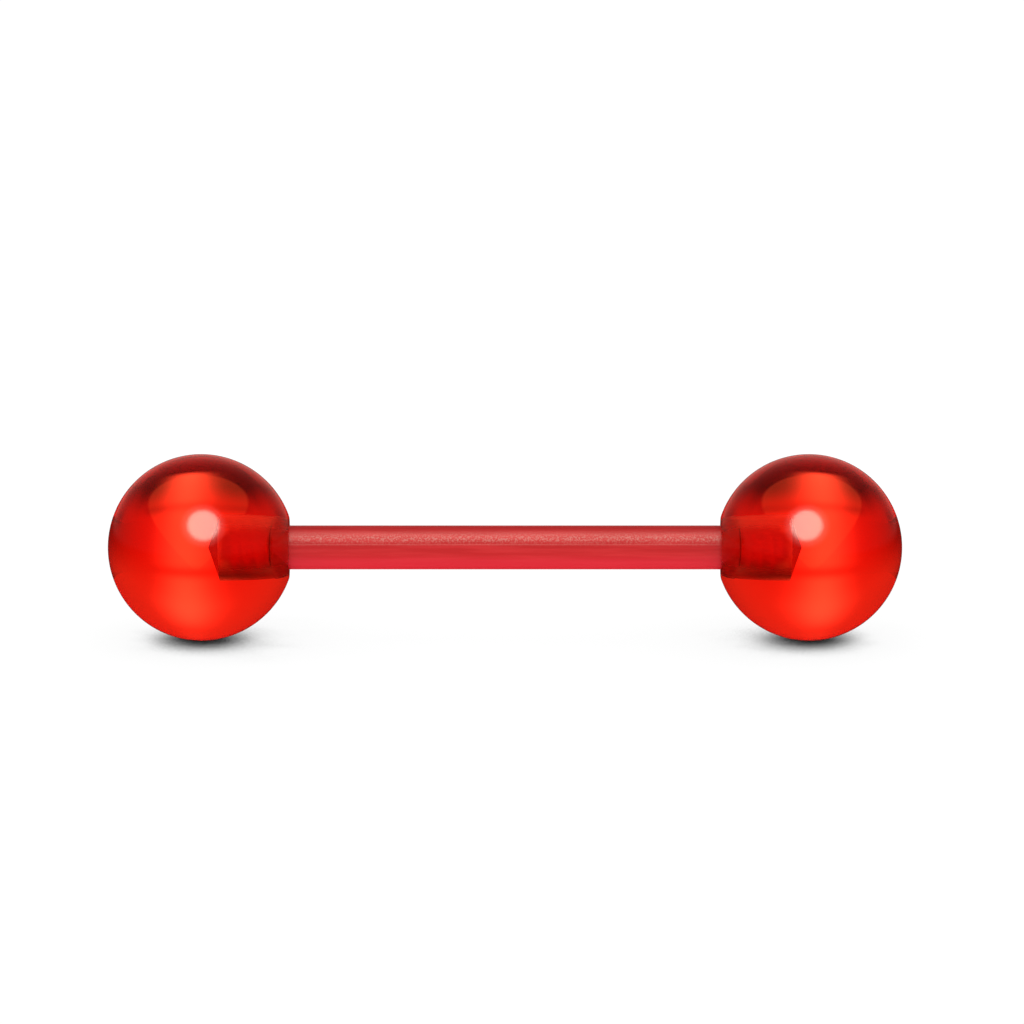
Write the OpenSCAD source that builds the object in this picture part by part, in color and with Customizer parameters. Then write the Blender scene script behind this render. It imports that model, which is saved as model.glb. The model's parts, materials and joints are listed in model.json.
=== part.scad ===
// Tongue barbell: a straight flexible bar with a clear ball screwed onto each end.
// It lies along X and rests on its two balls. The origin is on the surface it lies on,
// under the middle of the bar. Millimetres.

/* [Bar] */
// Diameter of the bar. 1.6 is 14 gauge
bar_d = 1.6; // [1.2:0.1:1.8]
// Clear length of bar between the two ball faces
clear_length = 15.7; // [8:0.1:24]
// Pitch of the thread on each end of the bar
thread_pitch = 0.35; // [0.25:0.05:0.4]

/* [Balls] */
// Diameter of each ball
ball_d = 6.8; // [5:0.1:8]
// Rounding where a ball's sphere runs into its flat inner face
face_rounding = 0.5; // [0.2:0.1:0.8]

/* [Socket] */
// Depth of the recess that takes the full diameter of the bar
recess_depth = 1.2; // [0.5:0.1:1.4]
// Depth of the whole socket, measured from the face to the end of its straight wall
socket_depth = 2.75; // [2.4:0.05:3]
// Included angle of the cone that the drill left at the end of the socket
drill_angle = 140; // [110:1:160]

/* [Hidden] */
$fn = 96;

ball_r = ball_d / 2;
bar_r = bar_d / 2;

// Clearances between the bar and the ball that turns on it.
recess_gap = 0.05;
thread_gap = 0.04;
shoulder_gap = 0.02;
tip_gap = 0.08;

// The thread is cut into the bar, so its crest is a step inside the bar's surface. Its flanks
// and its crest are given as shares of the pitch.
crest_step = 0.02;
thread_height = 0.18;
flank_share = 0.4;
crest_share = 0.2;
crest_r = bar_r - crest_step;
root_r = crest_r - thread_height;
tip_chamfer = 0.15;
shoulder_chamfer = 0.04;

recess_r = bar_r + recess_gap;
socket_r = crest_r + thread_gap;
socket_cone = socket_r / tan(drill_angle / 2);

// The flat face and the edge that is rounded off it are a narrow ring round the recess.
face_ring = 0.25;
face_r = recess_r + face_ring;
face_x = sqrt(ball_r * ball_r - face_r * face_r);
centre_x = clear_length / 2 + face_x;

// The rounding is a circle that touches the flat face and, from inside, the sphere.
rounding_centre_x = face_x - face_rounding;
rounding_centre_r = sqrt(pow(ball_r - face_rounding, 2) - pow(rounding_centre_x, 2));
touch_scale = ball_r / (ball_r - face_rounding);
touch_x = rounding_centre_x * touch_scale;
touch_r = rounding_centre_r * touch_scale;

// The bar's shoulder sits at the bottom of the recess, and its thread ends short of the cone.
shoulder_x = clear_length / 2 + recess_depth - shoulder_gap;
tip_x = clear_length / 2 + socket_depth - tip_gap;
turns = floor((tip_x - tip_chamfer - shoulder_x) / thread_pitch);
thread_start_x = tip_x - tip_chamfer - turns * thread_pitch;

// Outline of one thread: [distance along the pitch, radius] at its root and its crest.
function thread_turn(start) = [
    [root_r, start],
    [crest_r, start + flank_share * thread_pitch],
    [crest_r, start + (flank_share + crest_share) * thread_pitch],
];

// Half outline of one end of the bar, from its middle out to its tip.
function bar_end_outline() = concat(
    [
        [0, 0],
        [bar_r, 0],
        [bar_r, shoulder_x - shoulder_chamfer],
        [bar_r - shoulder_chamfer, shoulder_x],
        [root_r, shoulder_x],
    ],
    [for (i = [0 : turns - 1]) each thread_turn(thread_start_x + i * thread_pitch)],
    [
        [root_r, tip_x - tip_chamfer],
        [root_r - tip_chamfer, tip_x],
        [0, tip_x],
    ]
);

// Lays a shape that was turned round Z along X, at the height of the bar. A shape laid to the
// left is the mirror image of the same shape laid to the right.
module along_x(side) {
    translate([0, 0, ball_r])
        mirror([side < 0 ? 1 : 0, 0, 0])
        rotate([0, 90, 0])
        children();
}

// The outer half outline of a ball, with its flat face up.
module ball_outline() {
    intersection() {
        circle(r = ball_r);
        translate([0, -ball_r]) square([ball_r, ball_r + touch_x]);
    }
    translate([0, touch_x]) square([rounding_centre_r, face_x - touch_x]);
    intersection() {
        translate([rounding_centre_r, rounding_centre_x]) circle(r = face_rounding);
        translate([rounding_centre_r, touch_x]) square([face_rounding, face_x - touch_x]);
    }
}

// The half outline of the socket: recess, threaded hole and drilled cone.
module socket_outline() {
    translate([0, face_x - recess_depth]) square([recess_r, recess_depth + face_rounding]);
    translate([0, face_x - socket_depth]) square([socket_r, socket_depth]);
    polygon([
        [0, face_x - socket_depth - socket_cone],
        [socket_r, face_x - socket_depth],
        [0, face_x - socket_depth],
    ]);
}

// A ball with its socket up the Z axis, centred on the origin.
module ball() {
    rotate_extrude() difference() {
        ball_outline();
        socket_outline();
    }
}

module bar() {
    color("#e0394a") union() {
        for (side = [-1, 1])
            along_x(side) rotate_extrude() polygon(bar_end_outline());
    }
}

module left_ball() {
    color("#ef1c0a") translate([-centre_x, 0, 0]) along_x(1) ball();
}

module right_ball() {
    color("#ef1c0a") translate([centre_x, 0, 0]) along_x(-1) ball();
}

bar();
left_ball();
right_ball();
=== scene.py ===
"""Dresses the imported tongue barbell: a flexible red bar with a clear red acrylic ball on each end.

Lengths are in metres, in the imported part's own frame: +X along the bar, +Z up, with the origin on
the surface that the barbell lies on, under the middle of the bar.
"""

import json
import logging
import math
from dataclasses import dataclass
from enum import Enum
from typing import Any

import bmesh
import bpy
from bpy.types import Material, NodeSocket, Object
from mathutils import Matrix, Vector


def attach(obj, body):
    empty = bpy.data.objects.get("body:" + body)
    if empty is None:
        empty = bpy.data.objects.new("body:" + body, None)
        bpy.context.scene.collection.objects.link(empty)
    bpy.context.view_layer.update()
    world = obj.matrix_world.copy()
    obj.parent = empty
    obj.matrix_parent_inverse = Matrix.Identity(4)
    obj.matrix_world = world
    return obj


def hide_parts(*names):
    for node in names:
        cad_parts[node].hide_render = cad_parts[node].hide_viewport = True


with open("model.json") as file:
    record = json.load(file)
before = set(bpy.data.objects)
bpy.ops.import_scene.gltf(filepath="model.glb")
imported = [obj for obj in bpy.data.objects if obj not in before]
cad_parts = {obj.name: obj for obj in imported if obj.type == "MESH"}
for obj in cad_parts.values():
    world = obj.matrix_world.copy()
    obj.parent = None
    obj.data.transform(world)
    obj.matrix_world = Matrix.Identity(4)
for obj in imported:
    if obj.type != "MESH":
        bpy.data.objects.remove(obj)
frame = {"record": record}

LOG = logging.getLogger("barbell")
MM = 0.001
HAIR = 0.0001 * MM  # A distance too small to be seen.
PIXELS = 1024
BOUNCES = 32

# How far the bar's shoulder and its tip are inside a ball, from its flat face.
SHOULDER_DEPTH = 1.18 * MM
TIP_DEPTH = 2.67 * MM

Point = tuple[float, float]
Span = tuple[float, float]
Colour = tuple[float, float, float]
Values = dict[str | int, Any] | None

WHITE: Colour = (1.0, 1.0, 1.0)


class Side(Enum):
    """The two ends of the bar, as the sign of X."""

    LEFT = -1
    RIGHT = 1

    @property
    def ball(self) -> str:
        """The name of this end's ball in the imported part."""
        return f"{self.name.lower()}_ball"


class Seen(Enum):
    """How light may travel from a piece of the studio: each is a ray switch of an object."""

    DIRECTLY = "visible_camera"
    AS_LIGHT = "visible_diffuse"
    MIRRORED = "visible_glossy"
    THROUGH = "visible_transmission"
    AS_SHADOW = "visible_shadow"
    IN_VOLUMES = "visible_volume_scatter"

    @classmethod
    def only(cls, thing: Object, *ways: "Seen") -> None:
        """Lets an object be seen in the given ways alone."""
        for way in cls:
            setattr(thing, way.value, way in ways)


# Shader maths


@dataclass(frozen=True)
class Shade:
    """A value in a node tree, on which plain arithmetic adds Math nodes.

    Args:
        tree: the builder of the tree that the value is in.
        socket: the output socket that gives the value.
    """

    tree: "Tree"
    socket: NodeSocket

    def _math(self, operation: str, *values: "Shade | float") -> "Shade":
        """The result of a new Math node, which takes the values in order."""
        node = self.tree.add("ShaderNodeMath", {"operation": operation}, dict(enumerate(values)))
        return Shade(self.tree, node.outputs[0])

    def __add__(self, other: "Shade | float") -> "Shade":
        """This value plus another."""
        return self._math("ADD", self, other)

    def __sub__(self, other: "Shade | float") -> "Shade":
        """This value less another."""
        return self._math("SUBTRACT", self, other)

    def __rsub__(self, other: "Shade | float") -> "Shade":
        """Another value less this one."""
        return self._math("SUBTRACT", other, self)

    def __mul__(self, other: "Shade | float") -> "Shade":
        """This value times another."""
        return self._math("MULTIPLY", self, other)

    def __truediv__(self, other: "Shade | float") -> "Shade":
        """This value divided by another."""
        return self._math("DIVIDE", self, other)

    def __rtruediv__(self, other: "Shade | float") -> "Shade":
        """Another value divided by this one."""
        return self._math("DIVIDE", other, self)

    def __neg__(self) -> "Shade":
        """This value with its sign turned."""
        return self * -1.0

    __radd__ = __add__
    __rmul__ = __mul__

    def power(self, exponent: float) -> "Shade":
        """This value to a power."""
        return self._math("POWER", self, exponent)

    def absolute(self) -> "Shade":
        """This value without its sign."""
        return self._math("ABSOLUTE", self)

    def fraction(self) -> "Shade":
        """What is left of this value over the whole number below it."""
        return self._math("FRACT", self)

    def least(self, other: "Shade | float") -> "Shade":
        """The smaller of this value and another."""
        return self._math("MINIMUM", self, other)

    def most(self, other: "Shade | float") -> "Shade":
        """The larger of this value and another."""
        return self._math("MAXIMUM", self, other)

    def capped(self) -> "Shade":
        """This value held between 0 and 1."""
        return self.most(0.0).least(1.0)

    def turns_from(self, other: "Shade") -> "Shade":
        """The angle whose tangent is this value over another, in whole turns."""
        return self._math("ARCTAN2", self, other) / math.tau

    def degrees_of_sine(self) -> "Shade":
        """The angle in degrees whose sine this is."""
        return self._math("ARCSINE", self) * math.degrees(1.0)

    def degrees_from(self, other: "Shade") -> "Shade":
        """The angle in degrees whose tangent is this value over another, all the way round."""
        return self._math("ARCTAN2", self, other) * math.degrees(1.0)

    def folded(self, width: float) -> "Shade":
        """This value folded to and fro between 0 and a width."""
        return self._math("PINGPONG", self, width)

    def hill(self, width: float, top: float = 0.0) -> "Shade":
        """A smooth hill, 1 where this value is the top and 1/e where it is a width away."""
        away = (self - top) / width if top else self / width
        return self._math("POWER", math.exp(-1.0), away * away)

    def greater(self, limit: float) -> "Shade":
        """1 where this value is above the limit and 0 elsewhere."""
        return self._math("GREATER_THAN", self, limit)

    def step(self, low: float, high: float) -> "Shade":
        """Maps this value smoothly from 0 at low to 1 at high.

        Args:
            low: the value that gives 0.
            high: the value that gives 1. It may be the smaller of the two.

        Returns:
            The mapped value.
        """
        flip = high < low
        ends = {"Value": self, "From Min": min(low, high), "From Max": max(low, high)}
        node = self.tree.add("ShaderNodeMapRange", {"interpolation_type": "SMOOTHSTEP"}, ends)
        mapped = Shade(self.tree, node.outputs["Result"])
        return 1.0 - mapped if flip else mapped


class Tree:
    """Builds a node tree with one method for every kind of node."""

    def __init__(self, nodes: bpy.types.NodeTree) -> None:
        """Empties the tree to build in."""
        self.nodes = nodes
        nodes.nodes.clear()

    def add(self, kind: str, settings: Values = None, inputs: Values = None) -> bpy.types.Node:
        """Adds a node, sets it up and then fills its sockets.

        Args:
            kind: the node's type.
            settings: the node's own properties, set before its sockets.
            inputs: for each socket, by name or number, a value, a Shade or an output socket.

        Returns:
            The new node.
        """
        node = self.nodes.nodes.new(kind)
        for name, value in (settings or {}).items():
            setattr(node, name, value)
        for name, value in (inputs or {}).items():
            socket = node.inputs[name]
            if isinstance(value, Shade):
                value = value.socket
            if isinstance(value, NodeSocket):
                self.nodes.links.new(value, socket)
            elif isinstance(value, tuple) and socket.type == "RGBA":
                socket.default_value = (*value, 1.0)
            else:
                socket.default_value = value
        return node

    def value(self, node: bpy.types.Node, output: str | int = 0) -> Shade:
        """One of a node's outputs, ready for arithmetic."""
        return Shade(self, node.outputs[output])

    def split(self, vector: Any) -> tuple[Shade, Shade, Shade]:
        """The three parts of a vector socket."""
        node = self.add("ShaderNodeSeparateXYZ", None, {0: vector})
        return tuple(self.value(node, name) for name in "XYZ")

    def place(self) -> NodeSocket:
        """The shaded point in its object's own coordinates."""
        return self.add("ShaderNodeTexCoord").outputs["Object"]

    def noise(self, vector: Any, scale: float, detail: float) -> Shade:
        """Smooth noise, at a number of cells to the unit and with a number of finer octaves."""
        inputs = {"Vector": vector, "Scale": scale, "Detail": detail}
        return self.value(self.add("ShaderNodeTexNoise", None, inputs))

    def mix(self, factor: Shade | float, low: Any, high: Any) -> NodeSocket:
        """A colour mixed from a low one, at a factor of 0, and a high one, at 1."""
        # Of this node's sockets, numbers 6 and 7 in and number 2 out are the colours.
        inputs = {"Factor": factor, 6: low, 7: high}
        return self.add("ShaderNodeMix", {"data_type": "RGBA"}, inputs).outputs[2]

    def glow(self, colour: Any, strength: Shade) -> NodeSocket:
        """A shader that gives off light of a colour and a strength, and does nothing else."""
        return self.add("ShaderNodeEmission", None, {"Color": colour, "Strength": strength}).outputs[0]

    def clear(self) -> NodeSocket:
        """A shader that lets everything through."""
        return self.add("ShaderNodeBsdfTransparent").outputs[0]

    def surface(self, *shaders: NodeSocket) -> None:
        """Ends a material.

        Args:
            shaders: its shader, or two that are added together.
        """
        shown = shaders[0]
        if len(shaders) > 1:
            shown = self.add("ShaderNodeAddShader", None, {0: shaders[0], 1: shaders[1]}).outputs[0]
        self.add("ShaderNodeOutputMaterial", None, {"Surface": shown})


def new_object(name: str, data: bpy.types.ID) -> Object:
    """Makes an object and puts it into the scene.

    Args:
        name: the object's name.
        data: its mesh or camera.

    Returns:
        The new object.
    """
    made = bpy.data.objects.new(name, data)
    bpy.context.scene.collection.objects.link(made)
    return made


def new_mesh(name: str, mesh: bmesh.types.BMesh) -> Object:
    """Makes an object of a mesh that is being edited, and ends the editing.

    Args:
        name: the name of the object and its mesh.
        mesh: the mesh.

    Returns:
        The new object.
    """
    data = bpy.data.meshes.new(name)
    mesh.to_mesh(data)
    mesh.free()
    return new_object(name, data)


def new_material(name: str) -> tuple[Material, Tree]:
    """Makes an empty node material.

    Args:
        name: the material's name.

    Returns:
        The material and the builder of its tree.
    """
    material = bpy.data.materials.new(name)
    material.use_nodes = True
    return material, Tree(material.node_tree)


# Finishes


@dataclass(frozen=True)
class Acrylic:
    """Acrylic, tinted right through: polished outside and left satin where it is bored.

    Args:
        axis_z: the height of the bore's axis.
        bore_radius: the distance from the axis within which a surface is bored.
        bore_end: how far from the middle of the part the bore ends.
        bore_edge: how far the satin fades out round the bore, and past its end.
        surface_tint: the tint at each passage of the surface.
        clear_colour: the tint of the volume.
        density: how strong that tint is for each metre.
        ior: the index of refraction.
        roughness: that of the polished surface.
        haze: what the haze of handling adds to it.
        haze_scale: how many patches of haze a metre has.
        haze_span: the noise's values between which the haze sets in.
        bored_roughness: what the bore adds to it.
        step_at: how far from the middle of the part the recess ends, where a thin ring of painted shade
            darkens the bore.
        step_width: how wide that ring is.
        painted_step_shade: the ring's colour, a painted shade line at the step.
    """

    axis_z: float
    bore_radius: float = 0.9 * MM
    bore_end: float = 11.1 * MM
    bore_edge: Span = (0.05 * MM, 0.2 * MM)
    surface_tint: Colour = (1.0, 0.45, 0.35)
    clear_colour: Colour = (0.97, 0.22, 0.06)
    density: float = 760.0
    ior: float = 1.49
    roughness: float = 0.012
    haze: float = 0.012
    haze_scale: float = 380.0
    haze_span: Span = (0.45, 0.75)
    bored_roughness: float = 0.45
    step_at: float = 9.02 * MM
    step_width: float = 0.03 * MM
    painted_step_shade: Colour = (0.1, 0.01, 0.01)

    def material(self) -> Material:
        """Builds the material.

        Returns:
            A glass whose colour deepens with the distance that light travels in it.
        """
        material, tree = new_material("ball_acrylic")
        place = tree.place()
        haze = tree.noise(place, self.haze_scale, 2.0).step(*self.haze_span)
        x, y, z = tree.split(place)
        up, along = z - self.axis_z, x.absolute()
        out = (y * y + up * up).power(0.5)
        bored = out.step(self.bore_radius + self.bore_edge[0], self.bore_radius)
        bored = bored * along.step(self.bore_end + self.bore_edge[1], self.bore_end)
        # A thin dark ring where the recess steps down to the socket: painted shade, standing in for the light
        # that the step turns away.
        step = along.hill(self.step_width, self.step_at) * bored
        inputs = {
            "Base Color": tree.mix(step, self.surface_tint, self.painted_step_shade),
            "Roughness": self.roughness + haze * self.haze + bored * self.bored_roughness,
            "IOR": self.ior,
            "Transmission Weight": 1.0,
        }
        shader = tree.add("ShaderNodeBsdfPrincipled", None, inputs).outputs["BSDF"]
        tint = {"Color": self.clear_colour, "Density": self.density}
        volume = tree.add("ShaderNodeVolumeAbsorption", None, tint).outputs["Volume"]
        tree.add("ShaderNodeOutputMaterial", None, {"Surface": shader, "Volume": volume})
        return material


@dataclass(frozen=True)
class BarPolymer:
    """Flexible polymer with a satin surface, smoother under its mould line; above it, pale grainy specks are
    painted glints of the sheen.

    Angles are round the bar in degrees, from 0 in front to 90 on top.

    Args:
        axis_z: the height of the bar's axis.
        line_end: how far from the middle of the bar its mould line ends.
        post_start: how far from the middle of the bar its posts start.
        deep: the colour between the streaks.
        pale: the streaks' colour.
        rosy: the colour low down.
        rosy_share: how much of that colour there is.
        rosy_span: the angles between which it sets in.
        painted_glint_colour: the pale colour of the painted glints of the sheen.
        cut: the posts' colour, a brighter red than the bar's: painted light, for the light that the posts
            lack inside the balls.
        fade: the length over which one finish gives way to the next along the bar.
        streak_scale: how many streaks a metre has, along and across the bar.
        streak_span: the noise's values between which a streak sets in.
        grain_scale: how many painted glints a metre has.
        grain_span: the noise's values between which a painted glint sets in.
        line_angle: the angle of the mould line.
        line_width: the angle that it is wide.
        line_share: how much of the painted glints' colour it has.
        glint_angle: the angle at which there are most painted glints, in the band of the sheen.
        glint_width: the angle to each side at which there are few.
        glint_share: how much of their colour they have.
        roughness: the surface's.
        ior: the index of refraction.
        relief: the height of the mould line.
        streak_relief: that of the streaks, as a share of it.
        relief_strength: how strongly both turn the light.
    """

    axis_z: float
    line_end: float
    post_start: float
    deep: Colour = (0.61, 0.004, 0.006)
    pale: Colour = (0.70, 0.014, 0.017)
    rosy: Colour = (0.74, 0.009, 0.027)
    rosy_share: float = 0.7
    rosy_span: Span = (-4.0, -34.0)
    painted_glint_colour: Colour = (0.72, 0.26, 0.22)
    cut: Colour = (0.90, 0.016, 0.012)
    fade: float = 0.1 * MM
    streak_scale: Span = (350.0, 7000.0)
    streak_span: Span = (0.35, 0.7)
    grain_scale: float = 15000.0
    grain_span: Span = (0.4, 0.7)
    line_angle: float = 16.8
    line_width: float = 1.3
    line_share: float = 0.15
    glint_angle: float = 34.0
    glint_width: float = 12.0
    glint_share: float = 0.6
    roughness: float = 0.36
    ior: float = 1.45
    relief: float = 0.01 * MM
    streak_relief: float = 0.2
    relief_strength: float = 0.5

    def material(self) -> Material:
        """Builds the material.

        Returns:
            A satin plastic with a grain drawn out along the bar, a thin mould line in front and painted
            glints of the sheen above it.
        """
        material, tree = new_material("bar_polymer")
        place = tree.place()
        long, short = self.streak_scale
        drawn = tree.add("ShaderNodeMapping", None, {"Vector": place, "Scale": (long, short, short)})
        streaks = tree.noise(drawn.outputs[0], 1.0, 3.0)
        grain = tree.noise(place, self.grain_scale, 3.0)
        x, y, z = tree.split(place)
        angle, along = (z - self.axis_z).degrees_from(-y), x.absolute()
        mould_line = angle.hill(self.line_width, self.line_angle)
        mould_line = mould_line * along.step(self.line_end + self.fade, self.line_end)
        # Painted glints: pale specks of the sheen painted into the colour, in the band where the bar softbox
        # is mirrored.
        painted_glints = grain.step(*self.grain_span) * angle.hill(self.glint_width, self.glint_angle)
        height = streaks * self.streak_relief + mould_line
        inputs = {"Strength": self.relief_strength, "Distance": self.relief, "Height": height}
        bump = tree.add("ShaderNodeBump", None, inputs).outputs["Normal"]
        colour = tree.mix(streaks.step(*self.streak_span), self.deep, self.pale)
        colour = tree.mix(angle.step(*self.rosy_span) * self.rosy_share, colour, self.rosy)
        # The posts take a brighter red: painted light, making up for the light that they lack inside the
        # balls' sockets.
        colour = tree.mix(along.step(self.post_start, self.post_start + self.fade), colour, self.cut)
        # The pale colour of the painted glints, and a little of it along the mould line.
        painted_glint_mix = painted_glints * self.glint_share + mould_line * self.line_share
        inputs = {
            "Base Color": tree.mix(painted_glint_mix, colour, self.painted_glint_colour),
            "Roughness": self.roughness,
            "IOR": self.ior,
            "Normal": bump,
        }
        tree.surface(tree.add("ShaderNodeBsdfPrincipled", None, inputs).outputs["BSDF"])
        return material


@dataclass(frozen=True)
class PaintedShadowFloor:
    """The plain white surface, which gives off its own even light and darkens with a painted shadow only
    where something is close over it.

    Its painted shadow weighs the open space in front and behind, so it is narrow sideways.

    Args:
        light: how bright it is in the open.
        reach: how far above it something still shades it.
        lean: how far from straight above the light of each side comes, in radians.
        rays: how many rays find the open share of each side.
        shade: the open shares at which it is black and at which it is white.
        far_shade: the share of its light that falls off more slowly than that.
    """

    light: float = 1.05
    reach: float = 16 * MM
    lean: float = math.radians(55)
    rays: int = 8
    shade: Span = (0.1, 0.41)
    far_shade: float = 0.1

    def open_share(self, tree: Tree, way: int) -> Shade:
        """Adds the share of the light from one side that nothing hides.

        Args:
            tree: the builder of the material's tree.
            way: 1 for the light from behind and -1 for that from in front.

        Returns:
            The share.
        """
        lean = {"Y": way * math.sin(self.lean), "Z": math.cos(self.lean)}
        towards = tree.add("ShaderNodeCombineXYZ", None, lean).outputs[0]
        settings = {"samples": self.rays, "inside": False}
        inputs = {"Distance": self.reach, "Normal": towards}
        return tree.value(tree.add("ShaderNodeAmbientOcclusion", settings, inputs), "AO")

    def material(self) -> Material:
        """Builds the material.

        Returns:
            A white that gives off its own even light, darkened by a painted shadow, so that no colour falls
            on it.
        """
        material, tree = new_material("white_floor")
        # Painted shadow: the floor's own light is cut where ambient occlusion finds something close over it.
        share = self.open_share(tree, 1) * self.open_share(tree, -1)
        near, far = share.step(*self.shade), share * share
        strength = (near * (1.0 - self.far_shade) + far * self.far_shade) * self.light
        tree.surface(tree.glow(WHITE, strength))
        material.cycles.emission_sampling = "NONE"
        return material


# Shapes


def arc(centre: Point, radius: float, start: float, end: float, steps: int) -> list[Point]:
    """Points along an arc in the plane of an outline.

    Args:
        centre: the arc's centre, as (along the axis, from the axis).
        radius: its radius.
        start: the angle of its first point from the axis, in radians.
        end: the angle of its last point.
        steps: how many chords it has.

    Returns:
        The points, both ends included.
    """
    angles = (start + (end - start) * i / steps for i in range(steps + 1))
    return [(centre[0] + radius * math.cos(a), centre[1] + radius * math.sin(a)) for a in angles]


def lathe(
    name: str, outline: list[Point], corners: set[int], segments: int, axis_z: float
) -> Object:
    """Turns an outline round the bar's axis into one closed mesh.

    Args:
        name: the new object's name.
        outline: points as (X, distance from the axis). The first and last are on the axis.
        corners: the outline's points whose rings are sharp edges.
        segments: how many steps a turn has.
        axis_z: the height of the axis.

    Returns:
        The new object, smooth but for its sharp rings, with its faces outwards.
    """
    mesh = bmesh.new()
    rings: list[list[bmesh.types.BMVert]] = []
    turn = [math.tau * i / segments for i in range(segments)]
    for x, radius in outline:
        angles = turn if radius > 0.0 else [0.0]
        ring = [(x, radius * math.sin(a), axis_z + radius * math.cos(a)) for a in angles]
        rings.append([mesh.verts.new(place) for place in ring])
    for low, high in zip(rings, rings[1:]):
        for i in range(segments):
            j = (i + 1) % segments
            around = low[i % len(low)], high[i % len(high)], high[j % len(high)], low[j % len(low)]
            mesh.faces.new(tuple(dict.fromkeys(around)))
    for face in mesh.faces:
        face.smooth = True
    for index in corners:
        ring = rings[index]
        for a, b in zip(ring, ring[1:] + ring[:1]):
            mesh.edges.get((a, b)).smooth = False
    bmesh.ops.recalc_face_normals(mesh, faces=mesh.faces[:])
    return new_mesh(name, mesh)


@dataclass(frozen=True)
class Ball:
    """One acrylic ball, cut flat where the bar enters it and bored for the bar and its thread.

    Args:
        side: the end of the bar that it is on.
        radius: its radius, which is also the height of its centre.
        face_from_middle: how far its flat face is from the middle of the part.
        rounding: the radius of that face's edge.
        recess_radius: the radius of the recess for the bar.
        recess_depth: its depth.
        socket_radius: the radius of the socket for the thread.
        socket_depth: its depth from the face.
        drill_angle: the included angle of the cone that it ends in.
        face_ring: how wide the flat ring round the recess is, with its edge.
        segments: how many steps a turn of its mesh has.
        sphere_steps: how many chords its sphere's outline has.
        rounding_steps: how many that of its edge has.
    """

    side: Side
    radius: float
    face_from_middle: float
    rounding: float = 0.5 * MM
    recess_radius: float = 0.85 * MM
    recess_depth: float = 1.2 * MM
    socket_radius: float = 0.82 * MM
    socket_depth: float = 2.75 * MM
    drill_angle: float = math.radians(140)
    face_ring: float = 0.25 * MM
    segments: int = 160
    sphere_steps: int = 96
    rounding_steps: int = 14

    @property
    def face(self) -> float:
        """How far the flat face is from the ball's centre."""
        return math.sqrt(self.radius**2 - (self.recess_radius + self.face_ring) ** 2)

    def outline(self) -> tuple[list[Point], set[int]]:
        """The half outline of the ball, from its outer pole round to the end of its socket.

        Returns:
            The points, with the ball's centre at 0 and its face at the positive end, and the
            numbers of those that are sharp corners.
        """
        fillet_x = self.face - self.rounding
        fillet_r = math.sqrt((self.radius - self.rounding) ** 2 - fillet_x**2)
        touch = math.atan2(fillet_r, fillet_x)
        points = arc((0.0, 0.0), self.radius, math.pi, touch, self.sphere_steps)
        points[0] = (-self.radius, 0.0)
        points += arc((fillet_x, fillet_r), self.rounding, touch, 0.0, self.rounding_steps)[1:]
        recess_end, socket_end = self.face - self.recess_depth, self.face - self.socket_depth
        bore = [
            (self.face, self.recess_radius),
            (recess_end, self.recess_radius),
            (recess_end, self.socket_radius),
            (socket_end, self.socket_radius),
        ]
        corners = {len(points) + i for i in range(len(bore))}
        cone = self.socket_radius / math.tan(self.drill_angle / 2)
        return points + bore + [(socket_end - cone, 0.0)], corners

    def build(self, finish: Material) -> Object:
        """Makes the ball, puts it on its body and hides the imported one.

        Args:
            finish: the ball's material.

        Returns:
            The finished piece.
        """
        points, corners = self.outline()
        centre = self.face_from_middle + self.face
        sign = self.side.value
        placed = [(sign * (centre - x), r) for x, r in points]
        made = lathe(f"clear_{self.side.ball}", placed, corners, self.segments, self.radius)
        made.data.materials.append(finish)
        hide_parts(self.side.ball)
        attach(made, self.side.ball)
        return made


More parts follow.
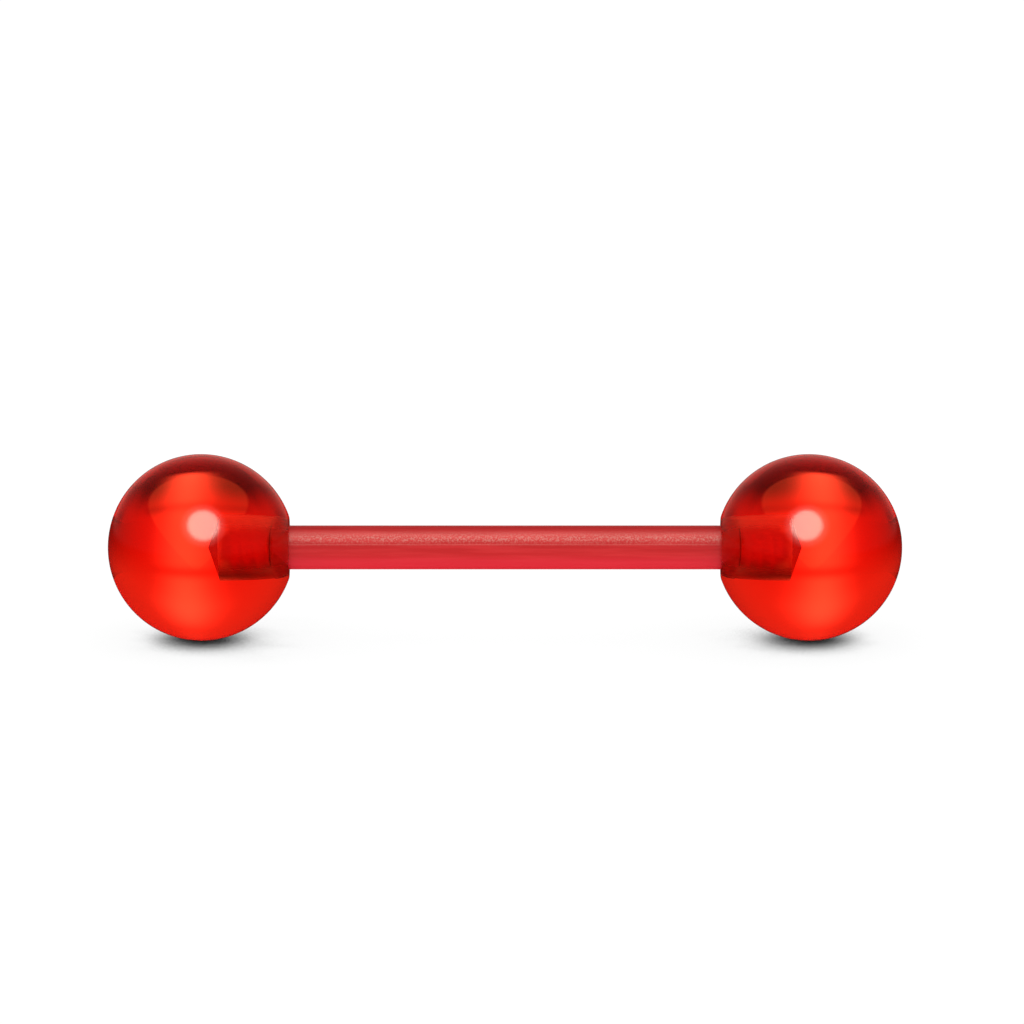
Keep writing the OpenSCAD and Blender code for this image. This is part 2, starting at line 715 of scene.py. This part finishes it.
@dataclass(frozen=True)
class CutThread:
    """A right-handed thread, cut round both ends of a rod that lies along X.

    Args:
        axis_z: the height of the rod's axis.
        root: the radius at the bottom of the thread.
        crest: the radius at its top.
        pitch: how far one turn goes along the rod.
        start: how far from the middle of the rod it starts.
        end: how far from the middle it ends.
        run_in: the length over which it grows and shrinks.
        flank_share: how far up its crest is, as a share of where its straight flanks would meet.
    """

    axis_z: float
    root: float
    crest: float
    pitch: float
    start: float
    end: float
    run_in: float = 0.12 * MM
    flank_share: float = 0.8

    def tree(self, finish: Material) -> bpy.types.GeometryNodeTree:
        """Builds the node tree that lifts a plain post's surface into a thread.

        Args:
            finish: the material that the result takes.

        Returns:
            The tree, with each field as an input of that name.
        """
        group = bpy.data.node_groups.new("cut_thread", "GeometryNodeTree")
        tree = Tree(group)
        face = group.interface
        face.new_socket("Geometry", in_out="INPUT", socket_type="NodeSocketGeometry")
        for name in vars(self):
            face.new_socket(name, in_out="INPUT", socket_type="NodeSocketFloat")
        face.new_socket("Geometry", in_out="OUTPUT", socket_type="NodeSocketGeometry")
        given = tree.add("NodeGroupInput")
        size = {name: tree.value(given, name) for name in vars(self)}
        x, y, z = tree.split(tree.add("GeometryNodeInputPosition").outputs[0])
        up = z - size["axis_z"]
        out = (y * y + up * up).power(0.5)
        along = x.absolute()
        turn = (-y).turns_from(up)
        phase = (x / size["pitch"] - turn).fraction()
        ridge = ((1.0 - (phase * 2.0 - 1.0).absolute()) / size["flank_share"]).capped()
        from_start, to_end = along - size["start"], size["end"] - along
        fade_in = (from_start / size["run_in"]).capped()
        fade_out = (to_end / size["run_in"]).capped()
        radius = size["root"] + (size["crest"] - size["root"]) * ridge * fade_in * fade_out
        stretch = radius / out
        height = size["axis_z"] + up * stretch
        place = tree.add("ShaderNodeCombineXYZ", None, {"X": x, "Y": y * stretch, "Z": height}).outputs[0]
        inside = from_start.greater(HAIR) * to_end.greater(HAIR)
        inputs = {"Geometry": given.outputs[0], "Selection": inside, "Position": place}
        cut = tree.add("GeometryNodeSetPosition", None, inputs).outputs[0]
        real = tree.add("GeometryNodeRealizeInstances", None, {0: cut}).outputs[0]
        dressed = tree.add("GeometryNodeSetMaterial", None, {"Geometry": real, "Material": finish})
        tree.add("NodeGroupOutput", None, {0: dressed.outputs[0]})
        return group

    def cut(self, rod: Object, finish: Material) -> None:
        """Cuts the thread into a rod's mesh.

        Args:
            rod: the rod, whose posts have closely spaced rings.
            finish: its material.
        """
        group = self.tree(finish)
        modifier = rod.modifiers.new("thread", "NODES")
        modifier.node_group = group
        for item in group.interface.items_tree:
            if item.in_out == "INPUT" and item.name in vars(self):
                modifier[item.identifier] = getattr(self, item.name)
        bpy.context.view_layer.update()
        evaluated = rod.evaluated_get(bpy.context.evaluated_depsgraph_get())
        plain, rod.data = rod.data, bpy.data.meshes.new_from_object(evaluated)
        rod.modifiers.remove(modifier)
        bpy.data.meshes.remove(plain)
        bpy.data.node_groups.remove(group)


@dataclass(frozen=True)
class Bar:
    """The flexible bar, with a threaded post at each end.

    Args:
        radius: its radius.
        axis_z: the height of its axis.
        shoulder: how far from its middle the posts start.
        tip: how far from its middle they end.
        root: the radius of the thread's root.
        crest: the radius of its crest.
        pitch: its pitch.
        tip_chamfer: the chamfer at the tip.
        shoulder_chamfer: the chamfer of the shoulder.
        rings_per_turn: how many rings of the mesh a turn of the thread has.
        segments: how many steps a turn of the mesh has.
    """

    radius: float
    axis_z: float
    shoulder: float
    tip: float
    root: float = 0.60 * MM
    crest: float = 0.78 * MM
    pitch: float = 0.35 * MM
    tip_chamfer: float = 0.15 * MM
    shoulder_chamfer: float = 0.04 * MM
    rings_per_turn: int = 20
    segments: int = 120

    def end_outline(self) -> tuple[list[Point], set[int]]:
        """The half outline of one end of the bar, from its middle to its tip.

        Returns:
            The points and the numbers of the sharp ones.
        """
        post = self.tip - self.tip_chamfer - self.shoulder
        steps = round(post / self.pitch * self.rings_per_turn)
        points = [
            (0.0, self.radius),
            (self.shoulder - self.shoulder_chamfer, self.radius),
            (self.shoulder, self.radius - self.shoulder_chamfer),
        ]
        points += [(self.shoulder + post * i / steps, self.root) for i in range(steps + 1)]
        points += [(self.tip, self.root - self.tip_chamfer), (self.tip, 0.0)]
        return points, {1, 2, 3, len(points) - 3, len(points) - 2}

    def build(self, finish: Material) -> Object:
        """Makes the bar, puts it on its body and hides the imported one.

        Args:
            finish: the bar's material.

        Returns:
            The finished piece.
        """
        points, sharp = self.end_outline()
        left = [(-x, r) for x, r in reversed(points[1:])]
        outline = left + points
        corners = {len(left) - i for i in sharp} | {len(left) + i for i in sharp}
        made = lathe("threaded_bar", outline, corners, self.segments, self.axis_z)
        made.data.materials.append(finish)
        end = self.tip - self.tip_chamfer
        CutThread(self.axis_z, self.root, self.crest, self.pitch, self.shoulder, end).cut(made, finish)
        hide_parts("bar")
        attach(made, "bar")
        return made


# Studio


@dataclass(frozen=True)
class Way:
    """The ways out from the part, in the numbers that the room's light is told in.

    Args:
        height: degrees above the horizon.
        bearing: degrees round from straight behind.
        turned: degrees from straight behind or in front, whichever is nearer.
        across: degrees from the nearest of the four sides.
        floor_across: how far to the side of the nearest axis this way meets the floor, in ball radii.
        floor_out: how far out along that axis it does.
    """

    height: Shade
    bearing: Shade
    turned: Shade
    across: Shade
    floor_across: Shade
    floor_out: Shade


@dataclass(frozen=True)
class Shell:
    """A big sphere round everything, which gives light by direction and is seen in one way alone.

    Args:
        name: its name, also its material's.
        radius: its radius.
        seen: how it is seen.
    """

    name: str
    radius: float
    seen: Seen

    def build(self) -> tuple[Tree, Way]:
        """Makes the sphere.

        Returns:
            The builder of its material, and each point's way out from the part.
        """
        mesh = bmesh.new()
        bmesh.ops.create_uvsphere(mesh, u_segments=64, v_segments=32, radius=self.radius)
        made = new_mesh(self.name, mesh)
        material, tree = new_material(self.name)
        material.cycles.emission_sampling = "NONE"
        made.data.materials.append(material)
        Seen.only(made, self.seen)
        out = tree.add("ShaderNodeVectorMath", {"operation": "NORMALIZE"}, {0: tree.place()})
        x, y, z = tree.split(out.outputs[0])
        wide, deep, down = x.absolute(), y.absolute(), z.absolute().most(0.001)
        bearing = x.degrees_from(y)
        return tree, Way(
            height=z.degrees_of_sine(),
            bearing=bearing,
            turned=bearing.folded(90.0),
            across=bearing.folded(45.0),
            floor_across=wide.least(deep) / down,
            floor_out=wide.most(deep) / down,
        )


@dataclass(frozen=True)
class RoomInTheBalls:
    """The room as it is seen through clear acrylic.

    It is dim to the sides and straight down, and a paler tongue of floor runs out from under the
    balls on each side. Angles are in degrees. A span is what something sets in between, in height,
    or round from in front or behind where it says so. A hill is its width and its top.

    Args:
        horizon: the span from walls to floor.
        wall_colour: the walls' light.
        floor_colour: the floor's light.
        lit: the span over which the floor comes out of the shade of the balls.
        side_lit: the span round from which it comes out of it lower down.
        side_lower: how much lower.
        floor_light: the floor's light all round.
        floor_behind: what it has on top behind and in front, and how wide that is.
        floor_beside: the same for straight beside the part.
        wall_light: the walls' light behind.
        wall_loss: what they lose for each degree round.
        under_light: the light in the shade of the balls.
        under_beside: what it has on top, steeply down to the sides.
        under_span: the span of that.
        under_sides: its span round.
        gap: the hill of a dim gap in the side floor.
        gap_depth: the share of the light that the gap takes.
        gap_sides: its span round.
        gap_ends: the span round over which it ends.
        join: the hill of the dim line across the floor.
        join_depth: the share of the light that it takes.
        join_sides: its span round.
        near_edge: where the tongue starts, in ball radii from straight below.
        tongue_edge: how softly its edge sets in.
        tongue_top: its span.
        tongue_colour: its light.
        front: the span round over which the tongue and the band lose light.
        front_loss: the share that they lose.
    """

    horizon: Span = (11.0, -11.0)
    wall_colour: Colour = (1.0, 1.0, 0.85)
    floor_colour: Colour = (1.0, 0.35, 0.22)
    lit: Span = (-41.0, -20.0)
    side_lit: Span = (34.0, 46.0)
    side_lower: float = 4.0
    floor_light: float = 0.32
    floor_behind: Span = (0.77, 42.0)
    floor_beside: Span = (0.4, 12.0)
    wall_light: float = 1.06
    wall_loss: float = 0.0047
    under_light: float = 0.07
    under_beside: float = 0.26
    under_span: Span = (-40.0, -50.0)
    under_sides: Span = (50.0, 60.0)
    gap: Span = (5.0, -23.0)
    gap_depth: float = 0.5
    gap_sides: Span = (48.0, 57.0)
    gap_ends: Span = (76.0, 66.0)
    join: Span = (2.4, -26.5)
    join_depth: float = 0.3
    join_sides: Span = (32.0, 24.0)
    near_edge: float = 0.87
    tongue_edge: Span = (-0.07, 0.07)
    tongue_top: Span = (0.0, -3.0)
    tongue_colour: Colour = (0.2, 1.0, 0.72)
    front: Span = (30.0, 60.0)
    front_loss: float = 0.88

    def lit_in_front(self, way: Way) -> Shade:
        """The share of light that is left at a bearing of the tongue and the band."""
        return 1.0 - self.front_loss * way.turned.step(*self.front)

    def build(self) -> None:
        """Makes the room, without its bright band."""
        tree, way = Shell("room_through_the_balls", 2.0, Seen.THROUGH).build()
        height, turned = way.height, way.turned
        floor = height.step(*self.horizon)
        lit = (height + self.side_lower * turned.step(*self.side_lit)).step(*self.lit)
        behind, behind_width = self.floor_behind
        beside, beside_width = self.floor_beside
        low = self.floor_light + behind * turned.hill(behind_width) + beside * turned.hill(beside_width, 90.0)
        high = self.wall_light - turned * self.wall_loss
        under = height.step(*self.under_span) * turned.step(*self.under_sides)
        under = self.under_light + self.under_beside * under
        gap = height.hill(*self.gap) * turned.step(*self.gap_sides) * turned.step(*self.gap_ends)
        sides = under + (1.0 - self.gap_depth * gap) * lit * (low * floor + high * (1.0 - floor))
        join = 1.0 - self.join_depth * height.hill(*self.join) * turned.step(*self.join_sides)
        out, over = self.near_edge / way.floor_out, way.floor_across
        tongue = (1.0 - over * over - out * out).step(*self.tongue_edge) * height.step(*self.tongue_top)
        tree.surface(
            tree.glow(tree.mix(floor, self.wall_colour, self.floor_colour), sides * join),
            tree.glow(self.tongue_colour, tongue * self.lit_in_front(way) * join),
        )


@dataclass(frozen=True)
class BrightBand:
    """The bright band on each side, nearer than the room, up the floor and a lit backdrop.

    It is dimmer at the horizon, and clear all round it. Spans and hills are as in the room.

    Args:
        light: its strength.
        colour: its light.
        low_end: the span of its lower end.
        top_end: the span of its upper part.
        top_loss: the share of its light that is lost above that.
        horizon: the hill of the dim horizon.
        horizon_depth: the share of the light that the horizon takes.
        join_depth: the share that the dim line across the floor takes.
        width: how wide it is to each side at the horizon.
        low_width: what it gains low down.
        low_span: the span of that.
        high_width: what it gains above the horizon.
        high_span: the span of that.
    """

    light: float = 6.0
    colour: Colour = (0.3, 1.0, 1.0)
    low_end: Span = (-51.5, -46.5)
    top_end: Span = (44.0, 16.0)
    top_loss: float = 0.92
    horizon: Span = (2.6, 1.2)
    horizon_depth: float = 0.7
    join_depth: float = 0.4
    width: float = 9.5
    low_width: float = 4.0
    low_span: Span = (-20.0, -44.0)
    high_width: float = 3.0
    high_span: Span = (5.0, 20.0)

    def build(self, room: RoomInTheBalls) -> None:
        """Makes the band.

        Args:
            room: the room that it is in front of.
        """
        tree, way = Shell("bright_band_through_the_balls", 0.15, Seen.THROUGH).build()
        height = way.height
        line = 1.0 - self.horizon_depth * height.hill(*self.horizon)
        join = 1.0 - self.join_depth * height.hill(*room.join)
        top = 1.0 - self.top_loss + height.step(*self.top_end) * self.top_loss
        low, high = height.step(*self.low_span), height.step(*self.high_span)
        width = self.width + self.low_width * low + self.high_width * high
        band = height.step(*self.low_end) * line * join * room.lit_in_front(way) * top
        band = band * (way.across / width).hill(1.0)
        tree.surface(tree.clear(), tree.glow(self.colour, band * self.light))


@dataclass(frozen=True)
class RoomInTheGloss:
    """The room as it is mirrored in gloss: dim, and lighter low down behind.

    Args:
        colour: its light.
        floor_light: the floor's strength.
        wall_light: what the walls have on top of that.
        horizon: the heights between which the walls set in.
        behind_light: what the lighter part behind has on top of that.
        behind: the hill of that part's height.
        behind_width: how wide it is to each side.
    """

    colour: Colour = (1.0, 0.94, 0.82)
    floor_light: float = 0.012
    wall_light: float = 0.05
    horizon: Span = (-4.0, 3.0)
    behind_light: float = 0.25
    behind: Span = (30.0, 6.0)
    behind_width: float = 32.0

    def build(self) -> None:
        """Makes the room."""
        tree, way = Shell("room_in_the_gloss", 0.6, Seen.MIRRORED).build()
        behind = way.height.hill(*self.behind) * way.bearing.hill(self.behind_width)
        walls = way.height.step(*self.horizon) * (self.wall_light + self.behind_light * behind)
        tree.surface(tree.glow(self.colour, self.floor_light + walls))


@dataclass(frozen=True)
class Softbox:
    """A round softbox on the camera's side, which is seen in gloss alone and hides nothing.

    Args:
        name: its name, also its material's.
        distance: how far it is from the part.
        above_view: how many degrees it is above the camera, seen from the part.
        half_angle: how many degrees its radius is, seen from the part.
        softness: the share of its radius over which it fades out.
        light: its strength in the middle.
        halo: how far a part of its light runs on, as a share of its radius.
        halo_share: how much of its light that is.
        colour: its light.
    """

    name: str
    distance: float
    above_view: float
    half_angle: float
    softness: float
    light: float
    halo: float
    halo_share: float = 0.2
    colour: Colour = (1.0, 0.93, 0.80)

    def build(self, part_z: float, view: float, lit: list[Object]) -> None:
        """Hangs the softbox.

        Args:
            part_z: the height of the part's middle.
            view: the camera's elevation, in radians.
            lit: the pieces that it lights, and no others.
        """
        rim = self.distance * math.tan(math.radians(self.half_angle))
        angle = view + math.radians(self.above_view)
        away = Vector((0.0, -math.cos(angle), math.sin(angle)))
        turned = (-away).to_track_quat("-Z", "Y").to_matrix().to_4x4()
        middle = away * self.distance + Vector((0.0, 0.0, part_z))
        mesh = bmesh.new()
        bmesh.ops.create_circle(mesh, cap_ends=True, segments=96, radius=rim * self.halo)
        bmesh.ops.transform(mesh, matrix=turned, verts=mesh.verts)
        bmesh.ops.translate(mesh, vec=middle, verts=mesh.verts)
        made = new_mesh(self.name, mesh)
        material, tree = new_material(self.name)
        made.data.materials.append(material)
        ends = {0: tree.place(), 1: tuple(middle)}
        out = tree.value(tree.add("ShaderNodeVectorMath", {"operation": "DISTANCE"}, ends), "Value")
        full = (1.0 - self.softness) * rim
        main_light, halo_light = (out.step(end, full) for end in (rim, rim * self.halo))
        strength = main_light * (1.0 - self.halo_share) + halo_light * self.halo_share
        tree.surface(tree.clear(), tree.glow(self.colour, strength * self.light))
        Seen.only(made, Seen.MIRRORED)
        only = bpy.data.collections.new(f"lit_by_{self.name}")
        for piece in lit:
            only.objects.link(piece)
        made.light_linking.receiver_collection = only


@dataclass(frozen=True)
class Studio:
    """The camera, the white floor and the light.

    Args:
        middle_z: the height of the part's middle.
        pixels_per_mm: how large the part is in the picture.
        centre_pixel: where the middle of the bar is in the picture.
        elevation: how far the camera looks down, in radians.
        distance: how far it is from the part.
        sensor: the width of its sensor.
        floor_half: half of the floor's width.
        room_light: the plain light from all round.
        light_loss: the share of it that is missing straight above.
    """

    middle_z: float
    pixels_per_mm: float = 27.45
    centre_pixel: Point = (505.0, 547.4)
    elevation: float = math.radians(10)
    distance: float = 0.39
    sensor: float = 36 * MM
    floor_half: float = 3.0
    room_light: float = 1.2
    light_loss: float = 0.6

    def camera(self) -> None:
        """Places the camera so that the part fills the frame as in the photograph."""
        data = bpy.data.cameras.new("studio_camera")
        made = new_object("studio_camera", data)
        width = PIXELS / self.pixels_per_mm * MM
        data.sensor_width = self.sensor / MM
        data.lens = self.sensor * self.distance / width / MM
        data.clip_start, data.clip_end = 0.01, 10.0
        back = Vector((0.0, -math.cos(self.elevation), math.sin(self.elevation)))
        up = Vector((0.0, math.sin(self.elevation), math.cos(self.elevation)))
        off_x = (PIXELS / 2 - self.centre_pixel[0]) / self.pixels_per_mm * MM
        off_y = (self.centre_pixel[1] - PIXELS / 2) / self.pixels_per_mm * MM
        target = Vector((off_x, 0.0, self.middle_z)) + up * off_y
        made.location = target + back * self.distance
        made.rotation_mode = "QUATERNION"
        made.rotation_quaternion = (-back).to_track_quat("-Z", "Y")
        bpy.context.scene.camera = made

    def floor(self, finish: Material) -> None:
        """Lays the white floor.

        Args:
            finish: its material.
        """
        half = self.floor_half
        corners = [(-half, -half, 0), (half, -half, 0), (half, half, 0), (-half, half, 0)]
        mesh = bpy.data.meshes.new("floor")
        mesh.from_pydata(corners, [], [(0, 1, 2, 3)])
        mesh.materials.append(finish)
        made = new_object("floor", mesh)
        Seen.only(made, Seen.DIRECTLY)

    def world(self) -> None:
        """Fills the room with plain white light, which falls off towards straight above."""
        world = bpy.data.worlds.new("white_room")
        bpy.context.scene.world = world
        world.use_nodes = True
        tree = Tree(world.node_tree)
        _, _, up = tree.split(tree.add("ShaderNodeTexCoord").outputs["Generated"])
        strength = (1.0 - self.light_loss * up.most(0.0)) * self.room_light
        light = tree.add("ShaderNodeBackground", None, {"Color": WHITE, "Strength": strength})
        rays = world.cycles_visibility
        rays.glossy = rays.transmission = rays.scatter = False
        tree.add("ShaderNodeOutputWorld", None, {"Surface": light.outputs["Background"]})

    def softboxes(self, balls: list[Object], rod: Object) -> None:
        """Hangs a softbox for the balls' highlights, and another for the sheen along the bar.

        Args:
            balls: the two balls.
            rod: the bar.
        """
        for name, distance, above_view, half_angle, softness, light, halo, lit in (
            ("ball_softbox", 0.14, 27.4, 22.2, 0.36, 9.8, 1.4, balls),
            ("bar_softbox", 0.3, 62.0, 38.0, 0.85, 4.5, 1.0, [rod]),
        ):
            box = Softbox(name, distance, above_view, half_angle, softness, light, halo)
            box.build(self.middle_z, self.elevation, lit)

    def build(self, balls: list[Object], rod: Object) -> None:
        """Sets everything up round the part.

        Args:
            balls: the two balls.
            rod: the bar.
        """
        self.camera()
        self.floor(PaintedShadowFloor().material())
        self.world()
        self.softboxes(balls, rod)
        room = RoomInTheBalls()
        room.build()
        BrightBand().build(room)
        RoomInTheGloss().build()


def render_settings() -> None:
    """Sets how light is traced and shown, and nothing of the picture's size or file."""
    scene = bpy.context.scene
    scene.view_settings.view_transform = "Standard"
    scene.view_settings.look = "None"
    cycles = scene.cycles
    cycles.max_bounces = cycles.transmission_bounces = cycles.glossy_bounces = BOUNCES
    cycles.use_denoising = True


def main() -> None:
    logging.basicConfig(level=logging.INFO, format="%(message)s")
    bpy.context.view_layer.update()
    channel = next(m for m in frame["record"]["mounts"] if m["name"] == "pierced_channel")
    axis_z = channel["pos_m"][2]
    half_length = channel["dims"]["length_mm"] / 2 * MM
    render_settings()
    acrylic = Acrylic(axis_z).material()
    balls = [Ball(side, radius=axis_z, face_from_middle=half_length).build(acrylic) for side in Side]
    bar = Bar(
        radius=channel["dims"]["r_mm"] * MM,
        axis_z=axis_z,
        shoulder=half_length + SHOULDER_DEPTH,
        tip=half_length + TIP_DEPTH,
    )
    polymer = BarPolymer(axis_z, line_end=half_length, post_start=bar.shoulder)
    rod = bar.build(polymer.material())
    for piece in (*balls, rod):
        LOG.info("%s: %d faces", piece.name, len(piece.data.polygons))
    Studio(middle_z=axis_z).build(balls, rod)


if __name__ == "__main__":
    main()
